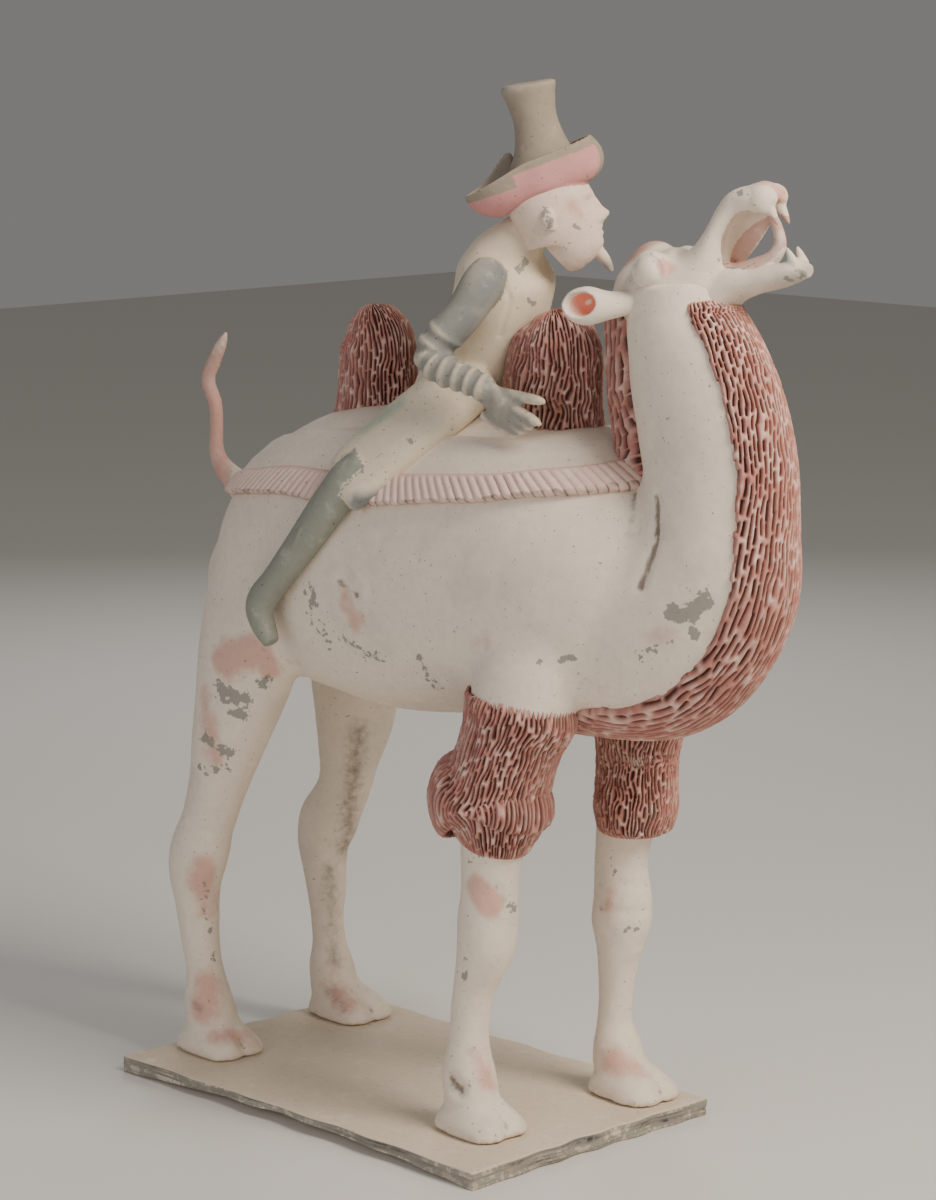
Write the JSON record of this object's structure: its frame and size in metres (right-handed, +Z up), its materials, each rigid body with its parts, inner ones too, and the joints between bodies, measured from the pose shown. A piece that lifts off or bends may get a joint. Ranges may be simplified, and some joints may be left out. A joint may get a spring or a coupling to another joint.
{
  "type": "terracotta camel and rider figure",
  "caption": "Standing pottery camel, head thrown back and mouth open, with a hatted rider astride, on a flat clay slab.",
  "frame": {"origin": "centre of the slab's underside", "axes": "+X the way the camel faces, +Y its left side, +Z up"},
  "size_m": [0.6829, 0.2851, 0.8622],
  "materials": {
    "camel_clay": "matt slip over low-fired clay",
    "rider_clay": "matt slip over low-fired clay",
    "slab_clay": "matt bare clay"
  },
  "bodies": {
    "root": {"camel": "camel_clay", "rider": "rider_clay", "plinth": "slab_clay"}
  },
  "joints": []
}
